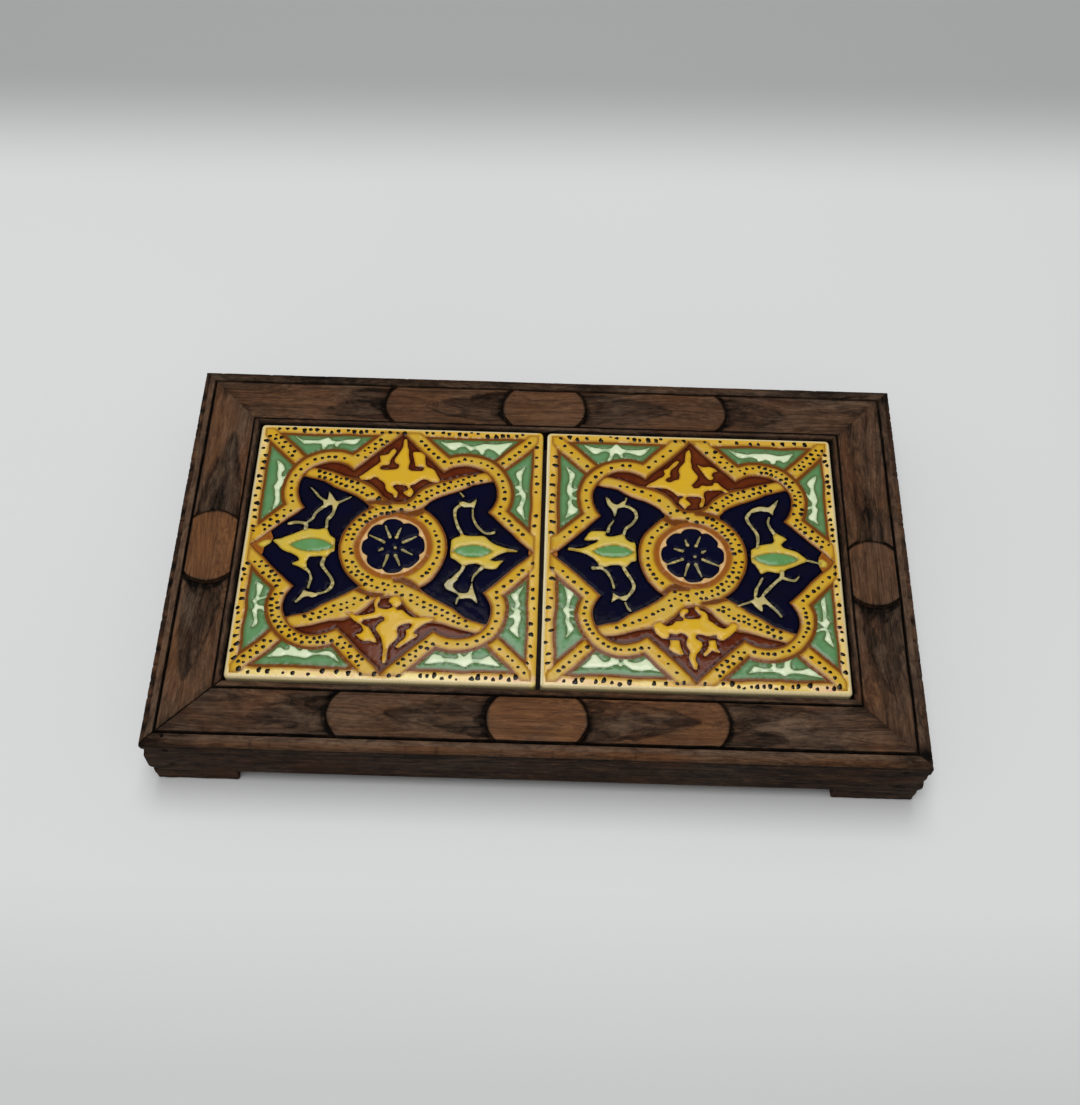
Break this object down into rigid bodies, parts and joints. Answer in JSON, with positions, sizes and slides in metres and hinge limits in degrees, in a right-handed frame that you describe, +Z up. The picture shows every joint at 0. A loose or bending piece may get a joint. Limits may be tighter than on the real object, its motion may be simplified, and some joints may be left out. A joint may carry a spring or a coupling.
{
  "type": "trivet",
  "caption": "Oblong trivet of glazed square tiles set side by side in a carved, mitred dark wood frame, standing on low corner feet.",
  "frame": {"origin": "on the ground under the middle of the trivet, in the plane of the feet's undersides", "axes": "+X along the long side to the right, +Y to the back, +Z up out of the tile faces"},
  "size_m": [0.2684, 0.1588, 0.0311],
  "materials": {
    "frame_wood": "dark walnut stain, satin, rubbed along the edges",
    "panel_plywood": "raw plywood",
    "tile_glaze": "glossy hand-painted glaze",
    "bed_mortar": "matt tile adhesive",
    "brad_steel": "dull wire steel"
  },
  "bodies": {
    "root": {"front_rail": "frame_wood", "back_rail": "frame_wood", "left_rail": "frame_wood", "right_rail": "frame_wood", "backing_panel": "panel_plywood", "left_tile": "tile_glaze", "right_tile": "tile_glaze", "left_tile_bed": "bed_mortar", "right_tile_bed": "bed_mortar", "foot_front_left": "frame_wood", "foot_front_right": "frame_wood", "foot_back_left": "frame_wood", "foot_back_right": "frame_wood", "corner_brads": "brad_steel", "panel_brads": "brad_steel", "foot_brads": "brad_steel"}
  },
  "joints": []
}
